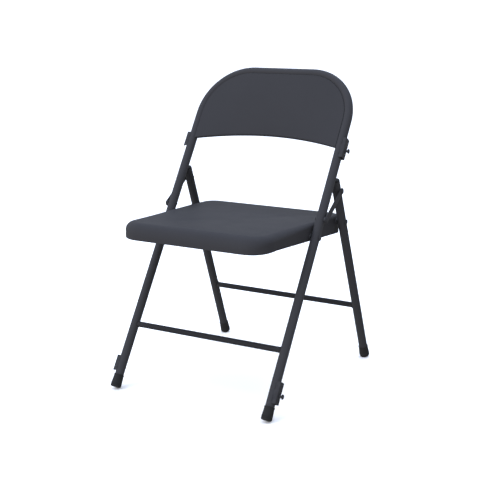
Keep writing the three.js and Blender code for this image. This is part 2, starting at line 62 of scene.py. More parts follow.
# Front frame: lengths along the tubes are measured from the centres of the feet's soles
FRAME_HALF_WIDTH = 0.213
FRAME_LEAN = math.radians(32.3)
FRAME_LENGTH = 0.8855
FRAME_CORNER_RADIUS = 0.128
CORNER_STEPS = 28
ARC_HALF_WIDTH = FRAME_HALF_WIDTH - FRAME_CORNER_RADIUS
ARC_HEIGHT = FRAME_LENGTH - FRAME_CORNER_RADIUS

# Rear legs
REAR_HALF_WIDTH = 0.216
REAR_LEAN = math.radians(21.4)
REAR_SPLAY = math.atan(4 / 424)
REAR_TUBE_END = 0.540

# Feet
SOLE_RADIUS = 0.0133
SOLE_THICKNESS = 0.004
SOLE_RIM_RADIUS = 0.0029
CAP_LENGTH = 0.032
CAP_MOUTH_RADIUS = 0.0123
SOLE_GROOVE = 0.0005
GRIP_RINGS_AT = (0.0050, 0.0072)
GRIP_RING_DEPTH = 0.0004
COLLAR_RADIUS = 0.0012

# Places along the tubes
CROSSBAR_AT = 0.1655
SEAT_PIVOT_AT = 0.4477
LINK_PIVOT_AT = 0.4949
REAR_SEAT_PIVOT_AT = 0.424
REAR_LINK_PIVOT_AT = 0.513

# Seat pan
SEAT_HALF_WIDTH = 0.1995
SEAT_FRONT = -0.265
SEAT_REAR = 0.157
SEAT_FRONT_CORNER = 0.058
SEAT_REAR_CORNER = 0.036
SEAT_SHEET = 0.0012
SEAT_LIP = 0.005
SEAT_TOP_HEIGHT = 0.4148
SEAT_TOP_SLOPE = -0.026
SEAT_HEM_HEIGHT = 0.3727
SEAT_HEM_SLOPE = -0.0591
SEAT_FRONT_DROP = 0.0056
SEAT_DISH = 0.005
REAR_ROLL = 0.007
SIDE_ROLL = 0.015
FRONT_ROLL = 0.032
ROLL_GROWS_FROM = 0.040
ROLL_GROWS_TO = -0.210
REAR_REACH = 0.0075
SIDE_REACH = 0.022
FRONT_REACH = 0.028
REACH_GROWS_FROM = 0.090
REACH_GROWS_TO = -0.170
DROP_STARTS = -0.190
HEM_RADIUS = 0.0022

# Back panel
PANEL_SHEET = 0.0012
PANEL_PROUD = 0.0089
PANEL_INSET = 0.0086
PANEL_SIDE_LOW = 0.6815
PANEL_ARCH = 0.0276
PANEL_HOLLOW = 0.018
PANEL_RIM = 0.0016
PANEL_FLANGE = 0.0028
HEM_FLANGE = 0.0045
PANEL_HEM = 0.0026
PANEL_STRAIGHT_SHARE = 0.32
HOLLOW_FADE = 1.4
ARCH_FADE = 3

# Rivets, links and hinge plates
RIVET_HEAD_RADIUS = 0.0068
RIVET_HEAD_HEIGHT = 0.0019
RIVET_TAIL_RADIUS = 0.006
FLUSH_TAIL_RADIUS = 0.0045
SHANK_RADIUS = 0.0039
LINK_THICKNESS = 0.0022
LINK_HALF_WIDTH = 0.008
LINK_GAP = 0.0005
HINGE_PLATE_THICKNESS = 0.002
CLEARANCE = 0.0003
RIVET_TAIL_HEIGHT = 0.0025
FLUSH_TAIL_HEIGHT = 0.0009
PIVOT_BORE_RADIUS = 0.0041
WASHER_RADIUS = 0.008
LINK_SPACER_RADIUS = 0.007
LEG_SPACER_RADIUS = 0.0075
PLATE_FRONT_RADIUS = 0.007
PLATE_REAR_RADIUS = 0.0075
LINK_INSIDE = REAR_HALF_WIDTH + TUBE_RADIUS + LINK_GAP
PLATE_INSIDE = SEAT_HALF_WIDTH - SEAT_SHEET - CLEARANCE - HINGE_PLATE_THICKNESS

# Ganging brackets
BRACKET_FACE = 0.2295
BRACKET_SHEET = 0.0015
BRACKET_HALF_WIDTH = 0.010
SOCKET_LENGTH = 0.039
STUD_BRACKET_LENGTH = 0.052
UPPER_BRACKET_AT = 0.657
LOWER_BRACKET_AT = 0.0395
STUD_ABOVE_BRACKET = 0.020
STUD_RADIUS = 0.003
STUD_HEAD_RADIUS = 0.006
STUD_END = 0.2395
SLOT_WIDTH = 0.0075

# Welds
WELD_SIDES = 10
BAR_WELD_RADIUS = 0.00125
BAR_WELD_RIPPLE = 0.00022
BAR_WELD_DRIFT = 0.00016
PANEL_WELD_RADIUS = 0.0013
SIDE_WELDS_AT = (0.694, 0.742)
CORNER_WELDS_AT = (32, 66)
TOP_WELDS_AT = (-0.045, 0.045)
BRACKET_WELD_RADIUS = 0.0011
STITCHES_AT = (0.24, 0.76)

# Surfaces
SHARP_ANGLE = math.radians(38)
EDGE_BEVEL = 0.0003
STRAP_BEVEL = 0.0004
TURNED_SIDES = 48
SAME_PLACE = 1e-7

SIDES = (("left", -1), ("right", 1))

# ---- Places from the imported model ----

PIVOT = {joint["name"]: Vector(joint["pos_m"]) for joint in frame["joints"]}


def tube_plane(pivot, along, turn):
    """The plane of a pair of tubes, from a pivot that lies at a given length along them."""
    rotation = Matrix.Rotation(turn, 4, "X")
    origin = Vector((0, pivot.y, pivot.z)) - rotation @ Vector((0, 0, along))
    return Matrix.Translation(origin) @ rotation


FRONT_PLANE = tube_plane(PIVOT["seat_fold"], SEAT_PIVOT_AT, -FRAME_LEAN)
REAR_PLANE = tube_plane(PIVOT["rear_legs_fold"], REAR_SEAT_PIVOT_AT, REAR_LEAN)


def rear_half_width(along):
    """Half the distance between the rear legs' centre lines, at a length along them."""
    return REAR_HALF_WIDTH + (REAR_SEAT_PIVOT_AT - along) * math.tan(REAR_SPLAY)


# ---- Materials ----


def linear(value):
    """One channel of a display colour, from 0 to 255, as a linear value."""
    share = value / 255
    return share / 12.92 if share <= 0.04045 else ((share + 0.055) / 1.055) ** 2.4


def colour(red, green, blue):
    return (linear(red), linear(green), linear(blue), 1)


class Nodes:
    """A short way to make and join shader nodes."""

    def __init__(self, name):
        self.material = bpy.data.materials.new(name)
        self.material.use_nodes = True
        self.tree = self.material.node_tree
        self.shader = self.tree.nodes["Principled BSDF"]
        self.place = self.new("ShaderNodeTexCoord").outputs["Object"]

    def new(self, kind, **settings):
        node = self.tree.nodes.new(kind)
        for key, value in settings.items():
            setattr(node, key, value)
        return node

    def join(self, source, target):
        self.tree.links.new(source, target)

    def noise(self, scale, detail=2.0, roughness=0.5, distortion=0.0):
        node = self.new("ShaderNodeTexNoise")
        node.inputs["Scale"].default_value = scale
        node.inputs["Detail"].default_value = detail
        node.inputs["Roughness"].default_value = roughness
        node.inputs["Distortion"].default_value = distortion
        self.join(self.place, node.inputs["Vector"])
        return node.outputs["Fac"]

    def spread(self, source, low, high, to_low, to_high):
        node = self.new("ShaderNodeMapRange")
        for name, value in (("From Min", low), ("From Max", high), ("To Min", to_low), ("To Max", to_high)):
            node.inputs[name].default_value = value
        self.join(source, node.inputs["Value"])
        return node.outputs["Result"]

    def times(self, first, second):
        node = self.new("ShaderNodeMath", operation="MULTIPLY")
        for source, socket in zip((first, second), node.inputs):
            if isinstance(source, float):
                socket.default_value = source
            else:
                self.join(source, socket)
        return node.outputs[0]

    def mix(self, factor, first, second):
        node = self.new("ShaderNodeMix", data_type="RGBA")
        self.join(factor, node.inputs["Factor"])
        for source, socket in ((first, node.inputs["A"]), (second, node.inputs["B"])):
            if isinstance(source, tuple):
                socket.default_value = source
            else:
                self.join(source, socket)
        return node.outputs["Result"]

    def bumps(self, layers):
        """Stacks bump nodes: each layer is (height, strength, depth)."""
        normal = None
        for height, strength, depth in layers:
            node = self.new("ShaderNodeBump")
            node.inputs["Strength"].default_value = strength
            node.inputs["Distance"].default_value = depth
            self.join(height, node.inputs["Height"])
            if normal is not None:
                self.join(normal, node.inputs["Normal"])
            normal = node.outputs["Normal"]
        self.join(normal, self.shader.inputs["Normal"])


PAINT_WORN = colour(75, 76, 79)
EDGE_WEAR = 0.5
RIVET_WEAR = 0.9


def powder_coat(name, paint, paint_pale, wear):
    """Matte powder coat: orange peel, faint mottling, and paint rubbed paler along the edges."""
    n = Nodes(name)
    mottle = n.spread(n.noise(7.0, 4.0, 0.6), 0.35, 0.65, 0.0, 1.0)
    base = n.mix(mottle, paint, paint_pale)
    edges = n.spread(n.new("ShaderNodeNewGeometry").outputs["Pointiness"], 0.515, 0.60, 0.0, 1.0)
    patches = n.spread(n.noise(140.0, 5.0, 0.65), 0.46, 0.66, 0.0, 1.0)
    rubbed = n.times(n.times(edges, patches), wear)
    n.join(n.mix(rubbed, base, PAINT_WORN), n.shader.inputs["Base Color"])
    n.join(n.spread(n.noise(24.0, 3.0), 0.3, 0.7, 0.615, 0.645), n.shader.inputs["Roughness"])
    n.shader.inputs["Specular IOR Level"].default_value = 0.05
    n.bumps([(n.noise(560.0, 1.0), 0.35, 0.00025), (n.noise(1900.0, 2.0), 0.2, 0.0001)])
    return n.material


def rubber(name):
    """Moulded rubber, matte and finely grained, with pale floor dust low on the sole."""
    n = Nodes(name)
    height = n.new("ShaderNodeSeparateXYZ")
    n.join(n.place, height.inputs["Vector"])
    low = n.spread(height.outputs["Z"], 0.0, 0.007, 1.0, 0.0)
    dust = n.times(low, n.spread(n.noise(260.0, 5.0, 0.7), 0.42, 0.70, 0.0, 0.55))
    mottle = n.spread(n.noise(45.0, 3.0), 0.35, 0.65, 0.0, 1.0)
    base = n.mix(mottle, colour(30, 30, 31), colour(34, 34, 35))
    n.join(n.mix(dust, base, colour(70, 68, 66)), n.shader.inputs["Base Color"])
    n.join(n.spread(n.noise(90.0, 3.0), 0.3, 0.7, 0.68, 0.86), n.shader.inputs["Roughness"])
    n.shader.inputs["Specular IOR Level"].default_value = 0.12
    n.bumps([(n.noise(900.0, 3.0, 0.6), 0.3, 0.0002)])
    return n.material


def plastic(name):
    """Black moulded plastic with a fine spark-eroded grain."""
    n = Nodes(name)
    mottle = n.spread(n.noise(60.0, 3.0), 0.35, 0.65, 0.0, 1.0)
    n.join(n.mix(mottle, colour(20, 20, 21), colour(24, 24, 26)), n.shader.inputs["Base Color"])
    n.join(n.spread(n.noise(120.0, 2.0), 0.3, 0.7, 0.5, 0.64), n.shader.inputs["Roughness"])
    n.shader.inputs["Specular IOR Level"].default_value = 0.12
    n.bumps([(n.noise(1500.0, 2.0), 0.25, 0.00015)])
    return n.material


# The bent tube's coat is a little paler than the sheet's, as painted light standing in for the tubes'
# highlights, and the bars' coat a little darker, as painted shade where the seat shades them
POWDER_COAT = powder_coat("powder_coat", colour(47.5, 47.5, 50.5), colour(48.5, 48.5, 51.5), EDGE_WEAR)
TUBE_COAT_PAINTED_LIGHT = powder_coat("powder_coat_tube_painted_light", colour(51, 51, 54), colour(52, 52, 55), EDGE_WEAR)
BAR_COAT_PAINTED_SHADE = powder_coat("powder_coat_bars_painted_shade", colour(37, 37, 39.5), colour(38, 38, 40.5), EDGE_WEAR)
RIVET_PAINT = powder_coat("painted_rivet", colour(48, 48.5, 51.5), colour(51, 51.5, 54.5), RIVET_WEAR)
RUBBER = rubber("foot_rubber")
PLASTIC = plastic("black_plastic")

# ---- Mesh helpers ----


def piece(name, bm, material, body, replaced=(), plane=None, bevel=0.0):
    """Turns a bmesh into a piece that rides on a body, and stands for the CAD nodes it replaces."""
    if plane is not None:
        bm.transform(plane)
    bmesh.ops.recalc_face_normals(bm, faces=bm.faces)
    mesh = bpy.data.meshes.new(name)
    bm.to_mesh(mesh)
    bm.free()
    made = bpy.data.objects.new(name, mesh)
    bpy.context.scene.collection.objects.link(made)
    finish_surface(made, material, bevel)
    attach(made, body)
    if replaced:
        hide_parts(*replaced)
    return made


def finish_surface(made, material, bevel):
    mesh = made.data
    mesh.materials.clear()
    mesh.materials.append(material)
    mesh.shade_smooth()
    mesh.set_sharp_from_angle(angle=SHARP_ANGLE)
    if bevel:
        edge = made.modifiers.new("edge", "BEVEL")
        edge.width = bevel
        edge.segments = 3
        edge.limit_method = "ANGLE"
        edge.angle_limit = SHARP_ANGLE
        edge.harden_normals = True


def bridge(bm, first, second):
    """Joins two rings of the same number of vertices with four-sided faces."""
    count = len(first)
    for k in range(count):
        after = (k + 1) % count
        bm.faces.new((first[k], first[after], second[after], second[k]))


def sweep(bm, points, radii, sides, up, closed=False):
    """A round bar along points, with one radius for each point."""
    count = len(points)
    rings = []
    for i, point in enumerate(points):
        before = points[i - 1] if closed or i > 0 else point
        after = points[(i + 1) % count] if closed or i < count - 1 else point
        tangent = (after - before).normalized()
        across = tangent.cross(up).normalized()
        top = across.cross(tangent)
        ring = []
        for k in range(sides):
            turn = 2 * math.pi * k / sides
            outwards = math.cos(turn) * across + math.sin(turn) * top
            ring.append(bm.verts.new(point + radii[i] * outwards))
        rings.append(ring)
    for first, second in zip(rings, rings[1:]):
        bridge(bm, first, second)
    if closed:
        bridge(bm, rings[-1], rings[0])
    else:
        bm.faces.new(rings[0])
        bm.faces.new(rings[-1])


def lathe(bm, profile, sides, place=None):
    """A solid of revolution about local Z. The profile is a list of (radius, height)."""
    rings = []
    for radius, height in profile:
        if radius < SAME_PLACE:
            rings.append([bm.verts.new((0, 0, height))])
            continue
        ring = []
        for k in range(sides):
            turn = 2 * math.pi * k / sides
            ring.append(bm.verts.new((radius * math.cos(turn), radius * math.sin(turn), height)))
        rings.append(ring)
    for first, second in zip(rings, rings[1:]):
        if len(first) == 1 or len(second) == 1:
            pole, ring = (first[0], second) if len(first) == 1 else (second[0], first)
            for k in range(sides):
                bm.faces.new((pole, ring[k], ring[(k + 1) % sides]))
        else:
            bridge(bm, first, second)
    if place is not None:
        bmesh.ops.transform(bm, matrix=place, verts=[v for ring in rings for v in ring])


def arc(centre, radius, start, end, steps):
    """Points on an arc, as (first, second) pairs, between two angles in degrees."""
    points = []
    for i in range(steps + 1):
        turn = math.radians(start + (end - start) * i / steps)
        points.append((centre[0] + radius * math.cos(turn), centre[1] + radius * math.sin(turn)))
    return points


def prism(bm, outline, low, high, place):
    """A straight extrusion of an outline given as (x, y) pairs, from low to high along local Z."""
    bottom = [bm.verts.new((x, y, low)) for x, y in outline]
    top = [bm.verts.new((x, y, high)) for x, y in outline]
    bridge(bm, bottom, top)
    bm.faces.new(bottom)
    bm.faces.new(top)
    bmesh.ops.transform(bm, matrix=place, verts=bottom + top)


def carve(made, cutters):
    """Cuts bmesh solids out of a piece and keeps the result as its mesh."""
    for bm in cutters:
        bmesh.ops.recalc_face_normals(bm, faces=bm.faces)
        mesh = bpy.data.meshes.new("cutter")
        bm.to_mesh(mesh)
        bm.free()
        cutter = bpy.data.objects.new("cutter", mesh)
        bpy.context.scene.collection.objects.link(cutter)
        cut = made.modifiers.new("cut", "BOOLEAN")
        cut.operation = "DIFFERENCE"
        cut.solver = "EXACT"
        cut.object = cutter
        bpy.context.view_layer.update()
        graph = bpy.context.evaluated_depsgraph_get()
        result = bpy.data.meshes.new_from_object(made.evaluated_get(graph))
        made.modifiers.remove(cut)
        made.data = result
        bpy.data.objects.remove(cutter)


def bead_radii(steps, radius, ripple, ripples):
    """Radii along a short weld bead, rounded off at both ends and rippled between them."""
    bluntness = 0.4
    end_share = 0.15
    radii = []
    for i in range(steps + 1):
        share = i / steps
        body = math.sin(math.pi * share) ** bluntness if 0 < i < steps else end_share
        radii.append(radius * body * (1 + ripple * math.sin(ripples * share)))
    return radii


ALONG_X = Matrix.Rotation(math.radians(90), 4, "Y")

# Stands an outline drawn in XY up in the YZ plane
XY_TO_YZ = Matrix(((0, 0, 1, 0), (1, 0, 0, 0), (0, 1, 0, 0), (0, 0, 0, 1)))


def along_x(sign, x, along):
    """Stands a lathe's axis along X, pointing outwards on that side, at a length along the tubes."""
    flip = Matrix.Identity(4) if sign > 0 else Matrix.Rotation(math.pi, 4, "Z")
    return Matrix.Translation((0, 0, along)) @ flip @ Matrix.Translation((x, 0, 0)) @ ALONG_X


def smoothstep(value, low, high):
    share = min(max((value - low) / (high - low), 0), 1)
    return share * share * (3 - 2 * share)


# ---- Front frame ----


def frame_tube_points():
    """The centre line of the bent tube: up the right side, over both corners, down the left."""
    right = []
    straight_steps = 12
    for i in range(straight_steps):
        share = i / straight_steps
        right.append(Vector((FRAME_HALF_WIDTH, 0, SOLE_THICKNESS + share * (ARC_HEIGHT - SOLE_THICKNESS))))
    for x, z in arc((ARC_HALF_WIDTH, ARC_HEIGHT), FRAME_CORNER_RADIUS, 0, 90, CORNER_STEPS):
        right.append(Vector((x, 0, z)))
    middle = Vector((0, 0, FRAME_LENGTH))
    left = [Vector((-point.x, 0, point.z)) for point in reversed(right)]
    return [*right, middle, *left]


def make_frame_tube():
    bm = bmesh.new()
    points = frame_tube_points()
    sweep(bm, points, [TUBE_RADIUS - FACET_MARGIN] * len(points), TUBE_SIDES, Vector((0, 1, 0)))
    # The bent tube gets the paler coat: painted light standing in for its highlights
    piece("bent_frame_tube", bm, TUBE_COAT_PAINTED_LIGHT, "front_frame", ["front_frame_tube"], FRONT_PLANE)


def make_crossbar(name, half_width, plane, body, node):
    bm = bmesh.new()
    reach = half_width - TUBE_RADIUS + CROSSBAR_SINK
    steps = 16
    points = [Vector((reach * (2 * i / steps - 1), 0, CROSSBAR_AT)) for i in range(steps + 1)]
    sweep(bm, points, [CROSSBAR_RADIUS] * len(points), CROSSBAR_SIDES, Vector((0, 0, 1)))
    # The bars get the darker coat: painted shade for the seat's shadow on them
    piece(name, bm, BAR_COAT_PAINTED_SHADE, body, [node], plane)


def weld_ring(bm, half_width, sign):
    """A rippled bead along the line where a crossbar's end meets its tube."""
    steps = 96
    ripples = 22
    stand_off = 1.03
    sink = 0.0002
    points = []
    radii = []
    for i in range(steps):
        turn = 2 * math.pi * i / steps
        behind = CROSSBAR_RADIUS * math.sin(turn)
        above = CROSSBAR_RADIUS * math.cos(turn)
        gap = math.sqrt(TUBE_RADIUS ** 2 - behind ** 2)
        x = sign * (half_width - gap - sink)
        points.append(Vector((x, behind * stand_off, CROSSBAR_AT + above * stand_off)))
        ripple = BAR_WELD_RIPPLE * math.sin(ripples * turn)
        radii.append(BAR_WELD_RADIUS + ripple + BAR_WELD_DRIFT * math.sin(3 * turn + sign))
    sweep(bm, points, radii, WELD_SIDES, Vector((1, 0, 0)), closed=True)


def make_crossbar_welds(name, half_width, plane, body):
    bm = bmesh.new()
    for _, sign in SIDES:
        weld_ring(bm, half_width, sign)
    # The bar welds share the darker coat: painted shade
    piece(name, bm, BAR_COAT_PAINTED_SHADE, body, (), plane)


# ---- Back panel ----


def panel_edge(row_share):
    """Half width and height of the panel's rim: straight sides first, then round the corner."""
    arc_radius = FRAME_CORNER_RADIUS - PANEL_INSET
    straight = PANEL_STRAIGHT_SHARE
    if row_share <= straight:
        height = PANEL_SIDE_LOW + (ARC_HEIGHT - PANEL_SIDE_LOW) * row_share / straight
        return FRAME_HALF_WIDTH - PANEL_INSET, height
    turn = (row_share - straight) / (1 - straight) * math.pi / 2
    return ARC_HALF_WIDTH + arc_radius * math.cos(turn), ARC_HEIGHT + arc_radius * math.sin(turn)


def rim_distance(x, z):
    """How far a point of the panel is inside the frame tube's centre line."""
    if z <= ARC_HEIGHT:
        return FRAME_HALF_WIDTH - abs(x)
    if abs(x) <= ARC_HALF_WIDTH:
        return FRAME_LENGTH - z
    return FRAME_CORNER_RADIUS - math.hypot(abs(x) - ARC_HALF_WIDTH, z - ARC_HEIGHT)


def panel_point(across, row_share, hem_turn=None):
    """A point on the panel's front face. hem_turn bends the lower edge back, from 0 to 90 degrees."""
    half_width, height = panel_edge(row_share)
    top = FRAME_LENGTH - PANEL_INSET
    crown = 1 - across * across
    fade = max(top - height, 0) / (top - PANEL_SIDE_LOW)
    x = half_width * across
    depth = -PANEL_PROUD + PANEL_HOLLOW * crown * fade ** HOLLOW_FADE
    z = height + PANEL_ARCH * crown * fade ** ARCH_FADE
    near = max(0.0, PANEL_RIM - (rim_distance(x, height) - PANEL_INSET))
    depth += PANEL_RIM - math.sqrt(max(PANEL_RIM ** 2 - near ** 2, 0))
    if row_share == 0:
        turn = math.radians(hem_turn)
        z += PANEL_HEM * (1 - math.sin(turn))
        depth += PANEL_HEM * (1 - math.cos(turn))
    return Vector((x, depth, z))


def spaced(count, power):
    """Shares from -1 to 1 that crowd towards both ends."""
    shares = []
    for i in range(count + 1):
        value = 2 * i / count - 1
        shares.append(math.copysign(1 - (1 - abs(value)) ** power, value))
    return shares


def make_back_panel():
    """The pressed sheet: a hemmed lower edge, and a flange round the rim that meets the frame tube."""
    bm = bmesh.new()
    column_steps = 96
    column_crowding = 1.55
    shares = spaced(column_steps, column_crowding)
    columns = [(-1, PANEL_FLANGE), *[(share, 0) for share in shares], (1, PANEL_FLANGE)]

    def add_row(row_share, hem_turn=None, back=0.0):
        row = []
        for across, side_flange in columns:
            point = panel_point(across, row_share, hem_turn)
            point.y += max(back, side_flange)
            row.append(bm.verts.new(point))
        rows.append(row)

    rows = []
    for share in (1.0, 0.5):
        add_row(0, 90, HEM_FLANGE * share)
    hem_steps = 6
    for i in range(hem_steps + 1):
        add_row(0, 90 * (1 - i / hem_steps))
    row_steps = 72
    row_crowding = 1.25
    for i in range(1, row_steps + 1):
        add_row(1 - (1 - i / row_steps) ** row_crowding)
    add_row(1, None, PANEL_FLANGE)
    for first, second in zip(rows, rows[1:]):
        for k in range(len(columns) - 1):
            bm.faces.new((first[k], first[k + 1], second[k + 1], second[k]))
    bmesh.ops.remove_doubles(bm, verts=bm.verts, dist=1e-6)
    made = piece("back_sheet", bm, POWDER_COAT, "front_frame", ["back_panel"], FRONT_PLANE)
    sheet = made.modifiers.new("sheet", "SOLIDIFY")
    sheet.thickness = PANEL_SHEET
    sheet.offset = panel_side(made)


def panel_side(made):
    """Which way the sheet's thickness goes, so that it lies behind the front face."""
    middle = max(made.data.polygons, key=lambda face: face.area)
    return -1.0 if middle.normal.y < 0 else 1.0


def make_panel_welds():
    """Short beads behind the panel's rim that hold it to the frame tube."""
    bm = bmesh.new()
    weld_turn = math.radians(62)
    inside = TUBE_RADIUS * math.sin(weld_turn)
    ahead = TUBE_RADIUS * math.cos(weld_turn)
    radius = FRAME_CORNER_RADIUS - inside
    half_length = 0.007
    half_turn = math.degrees(half_length / radius)
    steps = 20
    offsets = [half_length * (2 * i / steps - 1) for i in range(steps + 1)]
    beads = []
    for _, sign in SIDES:
        for along in SIDE_WELDS_AT:
            x = sign * (FRAME_HALF_WIDTH - inside)
            beads.append([Vector((x, -ahead, along + offset)) for offset in offsets])
        for middle in CORNER_WELDS_AT:
            line = arc((ARC_HALF_WIDTH, ARC_HEIGHT), radius, middle - half_turn, middle + half_turn, steps)
            beads.append([Vector((sign * x, -ahead, z)) for x, z in line])
    for x in TOP_WELDS_AT:
        beads.append([Vector((x + offset, -ahead, FRAME_LENGTH - inside)) for offset in offsets])
    radii = bead_radii(steps, PANEL_WELD_RADIUS, ripple=0.14, ripples=40)
    for points in beads:
        sweep(bm, points, radii, WELD_SIDES, Vector((0, 1, 0)))
    piece("back_sheet_welds", bm, POWDER_COAT, "front_frame", (), FRONT_PLANE)


# ---- Ganging brackets ----


def channel_outline(sign):
    """A channel of bent sheet, open towards the tube, with rounded bends."""
    face = BRACKET_FACE
    half = BRACKET_HALF_WIDTH
    root = FRAME_HALF_WIDTH + 0.0055
    outer = 0.0026
    inner = outer - BRACKET_SHEET
    bend = 5
    points = [(root, -half)]
    points += arc((face - outer, -half + outer), outer, -90, 0, bend)
    points += arc((face - outer, half - outer), outer, 0, 90, bend)
    points += [(root, half), (root, half - BRACKET_SHEET)]
    points += arc((face - outer, half - outer), inner, 90, 0, bend)
    points += arc((face - outer, -half + outer), inner, 0, -90, bend)
    points.append((root, -half + BRACKET_SHEET))
    return [(sign * x, y) for x, y in points]


def slot_cutter(along):
    """A slot open at the bracket's lower end, round at its upper end."""
    bm = bmesh.new()
    reach = STUD_ABOVE_BRACKET + 0.001
    half = SLOT_WIDTH / 2
    outline = [(-half, -0.01), (half, -0.01), *arc((0, reach), half, 0, 180, 16)]
    place = FRONT_PLANE @ Matrix.Translation((0, 0, along)) @ XY_TO_YZ
    margin = 0.004
    prism(bm, outline, -BRACKET_FACE - margin, -BRACKET_FACE + margin, place)
    return bm


def make_bracket(name, sign, along, length, node):
    bm = bmesh.new()
    prism(bm, channel_outline(sign), along, along + length, FRONT_PLANE)
    made = piece(name, bm, POWDER_COAT, "front_frame", [node])
    if sign < 0:
        carve(made, [slot_cutter(along)])
    finish_surface(made, POWDER_COAT, EDGE_BEVEL)


def make_bracket_welds():
    """Stitch welds along both flanges of every bracket."""
    bm = bmesh.new()
    contact = math.sqrt(TUBE_RADIUS ** 2 - BRACKET_HALF_WIDTH ** 2)
    half_length = 0.0065
    steps = 24
    offsets = [half_length * (2 * i / steps - 1) for i in range(steps + 1)]
    radii = bead_radii(steps, BRACKET_WELD_RADIUS, ripple=0.13, ripples=34)
    for base in (UPPER_BRACKET_AT, LOWER_BRACKET_AT):
        for _, sign in SIDES:
            length = STUD_BRACKET_LENGTH if sign > 0 else SOCKET_LENGTH
            x = sign * (FRAME_HALF_WIDTH + contact + 0.0004)
            for face in (-1, 1):
                y = face * (BRACKET_HALF_WIDTH + 0.0001)
                for centre in STITCHES_AT:
                    points = [Vector((x, y, base + length * centre + offset)) for offset in offsets]
                    sweep(bm, points, radii, WELD_SIDES, Vector((1, 0, 0)))
    piece("bracket_welds", bm, POWDER_COAT, "front_frame", (), FRONT_PLANE)


def make_stud(name, along, node):
    """A stud with a flanged tail inside its bracket and a round head outside."""
    bm = bmesh.new()
    wall = BRACKET_FACE - BRACKET_SHEET - CLEARANCE
    head = STUD_HEAD_RADIUS
    tail = 0.0046
    tail_end = wall - 0.0025
    underside = STUD_END - 0.0024
    edge = 0.0006
    crown = 0.0014
    profile = [(0, tail_end), (tail - edge, tail_end), *arc((tail - edge, tail_end + edge), edge, -90, 0, 4)]
    profile += [(tail, wall), (STUD_RADIUS, wall), (STUD_RADIUS, BRACKET_FACE)]
    profile += arc((STUD_RADIUS + edge, underside - edge), edge, 180, 90, 4)
    profile += arc((head - edge, underside + edge), edge, -90, 0, 4)
    profile += arc((head - crown, STUD_END - crown), crown, 0, 75, 6)
    profile += [(head * 0.4, STUD_END - 0.0001), (0, STUD_END)]
    lathe(bm, profile, TURNED_SIDES, along_x(1, 0, along))
    piece(name, bm, RIVET_PAINT, "front_frame", [node], FRONT_PLANE)


def make_ganging_parts():
    for level, along in (("upper", UPPER_BRACKET_AT), ("lower", LOWER_BRACKET_AT)):
        make_bracket(f"{level}_socket_channel", -1, along, SOCKET_LENGTH, f"{level}_left_ganging_socket")
        make_bracket(f"{level}_stud_channel", 1, along, STUD_BRACKET_LENGTH, f"{level}_right_ganging_bracket")
        make_stud(f"{level}_stud", along + STUD_ABOVE_BRACKET, f"{level}_right_ganging_stud")


# ---- Rear legs ----


def make_rear_leg(name, sign):
    bm = bmesh.new()
    steps = 14
    points = []
    for i in range(steps + 1):
        along = SOLE_THICKNESS + (REAR_TUBE_END - SOLE_THICKNESS) * i / steps
        points.append(Vector((sign * rear_half_width(along), 0, along)))
    sweep(bm, points, [TUBE_RADIUS] * len(points), TUBE_SIDES, Vector((0, 1, 0)))
    node = f"{name}_rear_leg_tube"
    piece(f"{name}_rear_tube", bm, POWDER_COAT, "rear_legs", [node], REAR_PLANE, EDGE_BEVEL)


def make_plug(name, sign):
    bm = bmesh.new()
    radius = TUBE_RADIUS
    stem = TUBE_RADIUS - 0.0015
    stem_end = -0.010
    shoulder = 0.0022
    crown = 0.0039
    profile = [(0, stem_end), (stem - 0.001, stem_end), (stem, stem_end + 0.0015), (stem, CLEARANCE)]
    profile += [(radius - 0.0002, CLEARANCE), (radius, CLEARANCE + 0.0002)]
    profile += arc((radius - shoulder, 0.0012), shoulder, 0, 62, 7)
    profile += [(radius * 0.55, crown - 0.00035), (radius * 0.28, crown - 0.0001), (0, crown)]
    place = Matrix.Translation((sign * rear_half_width(REAR_TUBE_END), 0, REAR_TUBE_END))
    lathe(bm, profile, 56, place @ Matrix.Rotation(-sign * REAR_SPLAY, 4, "Y"))
    node = f"{name}_rear_leg_plug"
    piece(f"{name}_end_plug", bm, PLASTIC, "rear_legs", [node], REAR_PLANE)


# ---- Foot caps ----


def cap_profile():
    """A boot with a grooved, well rounded sole, grip rings above it and a soft collar at the mouth."""
    bore = TUBE_RADIUS + 0.0001
    rim = SOLE_RIM_RADIUS
    profile = [(0, SOLE_GROOVE), (0.0048, SOLE_GROOVE), (0.0052, 0.0), (0.0068, 0.0), (0.0072, SOLE_GROOVE)]
    profile += [(0.0090, SOLE_GROOVE), (0.0094, 0.0), *arc((SOLE_RADIUS - 0.0002 - rim, rim), rim, -90, 0, 8)]
    waist = SOLE_RADIUS - GRIP_RING_DEPTH
    for base in GRIP_RINGS_AT:
        profile += [(SOLE_RADIUS, base), (waist, base + 0.0003), (waist, base + 0.0007)]
        profile.append((SOLE_RADIUS, base + 0.0010))
    neck = CAP_MOUTH_RADIUS - 0.0002
    taper_from = 0.0092
    taper_to = CAP_LENGTH - 0.0048
    taper_steps = 8
    for i in range(taper_steps + 1):
        share = i / taper_steps
        radius = SOLE_RADIUS + (neck - SOLE_RADIUS) * share
        profile.append((radius, taper_from + (taper_to - taper_from) * share))
    collar = CAP_MOUTH_RADIUS + 0.0003 - COLLAR_RADIUS
    profile += arc((collar, CAP_LENGTH - 0.0030), COLLAR_RADIUS, -70, 0, 4)
    profile += arc((collar, CAP_LENGTH - COLLAR_RADIUS), COLLAR_RADIUS, 0, 90, 5)
    profile += [(bore, CAP_LENGTH - 0.0005), (bore, SOLE_THICKNESS), (0, SOLE_THICKNESS)]
    return profile


def make_foot_cap(name, node, body, plane, x, splay):
    """A boot on a tube's end, flattened where it would go below the floor."""
    bm = bmesh.new()
    place = plane @ Matrix.Translation((x, 0, 0)) @ Matrix.Rotation(splay, 4, "Y")
    lathe(bm, cap_profile(), 64, place)
    for vertex in bm.verts:
        vertex.co.z = max(vertex.co.z, 0.0)
    piece(name, bm, RUBBER, body, [node])


# ---- Seat pan ----


